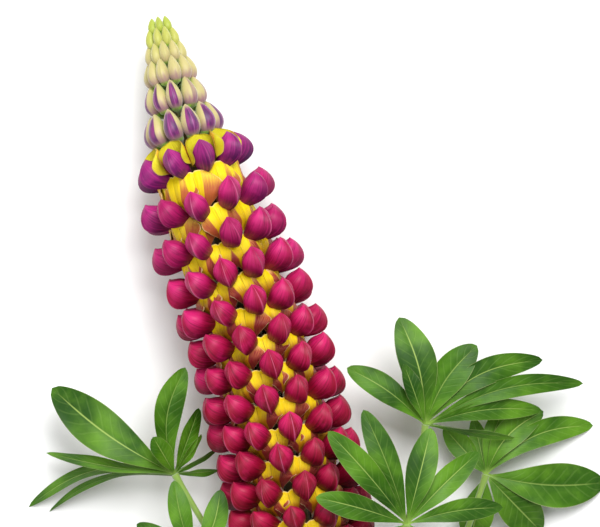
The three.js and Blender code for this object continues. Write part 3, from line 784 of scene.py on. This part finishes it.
# ---------------------------------------------------------------- stem and leaves
def stem():
    """A tube round the stem's line with six low ribs on a cosine, and a pale cut face at its end. It is
    brownish among the blooms."""
    skin = Skin()
    s = np.linspace(STEM_TOP, LENGTH, 150)
    at, _, up, right = spine(s)
    turn = TAU * (np.arange(24) + 0.5) / 24
    rough = 0.955 + 0.02 * np.cos(6 * turn)[None, :] + 0.008 * np.sin(s / 7)[:, None]
    radius = stem_radius(s)[:, None] * rough
    ring = np.cos(turn)[None, :, None] * up[:, None] + np.sin(turn)[None, :, None] * right[:, None]
    points = at[:, None] + radius[..., None] * ring
    petal = triple(turn / TAU, (s / 60)[:, None], 0.0)
    own = triple(1.1 - smooth(s, 190, 225)[:, None], 0.5, 0.0)
    skin.add(points[None], petal[None], own[None], wrap=True, flip=True)
    cut = np.stack([points[-1], np.broadcast_to(at[-1], points[-1].shape)])
    top = np.stack([np.broadcast_to(at[0], points[0].shape), points[0]])
    for disc in (cut, top):
        pale = np.array([0.0, 0.5, 0.5])
        skin.add(disc[None], np.array([0.5, 0.5, 0.0]), pale, 1, wrap=True, flip=True)
    skin.object("stem_skin", [STEM, STALK], "stem", "stem")


stem()


def leaf(name, hub, start_at, side, leaflets):
    """A leaf's blades and its stalk, which is a tube on a cubic curve. A leaflet's half width is a power of
    the sine of a power of its length. Its rib arches over and bows sideways on sines, and it is folded up
    along the rib and waves a little at its edges."""
    blades, foot = Skin(), Skin()
    centre = np.array([hub[0], TIP_Y - hub[1], hub[2]], float)
    more = np.random.default_rng(sum(map(ord, name)))
    t = np.linspace(0, 1, 41)[:, None]
    u = np.linspace(-1, 1, 13)[None, :]
    arch = np.sin(math.pi * t)
    above = np.array([0, 0, 1.0])
    for bearing, length, width, roll, rise, bow in leaflets:
        length -= TIP_SHORT
        ahead = np.array([math.sin(math.radians(bearing)), math.cos(math.radians(bearing)), 0])
        beside = np.array([ahead[1], -ahead[0], 0])
        level, steep = math.cos(math.radians(roll)), math.sin(math.radians(roll))
        flat = unit(beside - ahead * (bow * math.pi * np.cos(math.pi * t)) / length)
        across, lift = flat * level - above * steep, flat * steep + above * level
        half = (width / 2) * np.sin(math.pi * t**1.4).clip(0) ** (0.9 - 0.32 * t) + 0.02
        half = np.where(t < 0.5, np.maximum(0.42, half), half)
        height = rise * t + 0.09 * length * arch
        rib = centre + ahead * length * t + beside * bow * arch + above * height
        phase, chances = more.uniform(0, TAU), more.uniform(0, 1, 3)
        wave = 0.1 * half * (np.sin(t * 8 + phase) * u + 0.7 * np.sin(t * 12 + 2 * phase) * np.abs(u) ** 3)
        fold = 0.34 * np.abs(u) ** 0.85 * half * (1 - 0.35 * t) + 0.06 * half * np.cos(u * math.pi)
        thick = 0.5 * (1 - np.abs(u) ** 2) * (1 - 0.5 * t) + 0.05
        keel = 0.5 * np.exp(-((u / 0.12) ** 2)) * (1 - t) ** 0.5
        blade = rib[:, None] + across[:, None] * (u * half)[..., None]
        sheets = [
            (blade + lift[:, None] * height[..., None])[None]
            for height in (fold + wave, fold + wave - thick - keel)
        ]
        petals = [triple(u, t, under)[None] for under in (0.0, 1.0)]
        blades.shell(*sheets, *petals, chances)
    at, to_tip, up, right = spine(float(start_at))
    # the stalk starts inside the stem, and one with a high hub climbs more steeply
    begin = at + right * side * (float(stem_radius(start_at)) - 0.4)
    climb = 12 if centre[2] > 35 else 4
    early = begin + right * side * 16 + to_tip * 8 + up * climb
    late = centre + (begin - centre) * 0.35 + right * side * 5
    t = np.linspace(0, 1, 60)[:, None]
    line = (1 - t) ** 3 * begin + 3 * t * (1 - t) ** 2 * early + 3 * t**2 * (1 - t) * late + t**3 * centre
    radius = 1.15 + 0.8 * np.exp(-t[:, 0] * 26) + 0.35 * smooth(t[:, 0], 0.94, 1.0)
    petal = triple(np.arange(12) / 12, t * 3, 0.0)[None]
    foot.add(tube(line, radius, 12), petal, np.array([0.2, 0.4, 0.5]), wrap=True, flip=True, ends=True)
    blades.object(name + "_leaflets", [LEAF], name, "leaf")
    foot.object(name + "_stalk", [STALK], name, "leaf")


for name, plan in LEAVES.items():
    leaf(name, *plan)


# ---------------------------------------------------------------- table, light and camera
def area(name, place, size, power):
    """A square light that faces the middle of the table."""
    light = bpy.data.lights.new(name, "AREA")
    light.energy, light.size = power, size
    thing = bpy.data.objects.new(name, light)
    bpy.context.collection.objects.link(thing)
    thing.location = place
    x, y, z = place
    thing.rotation_euler = (math.atan2(math.hypot(x, y), z), 0, math.atan2(y, x) + math.pi / 2)


def stage():
    """A pale matt table, a key light, a weak fill and an even white surround, in metres and watts."""
    bpy.ops.mesh.primitive_plane_add(size=6, location=(0, 0, 0))
    floor = bpy.context.object
    floor.name = "floor"
    paint = Paint("floor", 0.9)
    grain = paint.noise(40.0, 2.0)
    paint.set("Base Color", paint.mix(grain * 0.04, (0.93, 0.93, 0.93, 1), (0.88, 0.88, 0.88, 1)))
    floor.data.materials.append(paint.material)
    area("key", (0.42, 0.6, 1.3), 0.8, 26)
    area("fill", (-0.8, 0.1, 1.3), 1.2, 7)
    world = bpy.data.worlds.new("world")
    bpy.context.scene.world = world
    world.use_nodes = True
    background = next(n for n in world.node_tree.nodes if n.type == "BACKGROUND")
    background.inputs["Color"].default_value = (1, 1, 1, 1)
    background.inputs["Strength"].default_value = 0.36


# a pixel of the picture is PIXEL wide at SCALE_HEIGHT above the table, and the bud tip is at TIP_PIXEL
PIXEL, SCALE_HEIGHT = 0.37, 34
PICTURE, TIP_PIXEL = np.array([600, 527]), np.array([160, 16])


def look():
    """A camera straight above, turned so that the spike leans to the upper left."""
    right = unit(np.array([0.96, -0.275, 0]))
    up = np.array([-right[1], right[0], 0])
    middle = PICTURE / 2 - TIP_PIXEL
    focus = np.array([0, TIP_Y, 0]) + PIXEL * (right * middle[0] - up * middle[1]) + SHIFT
    camera = bpy.data.cameras.new("camera")
    camera.sensor_width, camera.lens = 36, 180
    camera.clip_end = 20
    viewer = bpy.data.objects.new("camera", camera)
    bpy.context.collection.objects.link(viewer)
    distance = PICTURE[0] * PIXEL * camera.lens / camera.sensor_width
    viewer.location = (focus[0] * MM, focus[1] * MM, (distance + SCALE_HEIGHT) * MM)
    viewer.rotation_euler = (0, 0, math.atan2(right[1], right[0]))
    bpy.context.scene.camera = viewer
    bpy.context.scene.view_settings.view_transform = "Standard"


stage()
look()
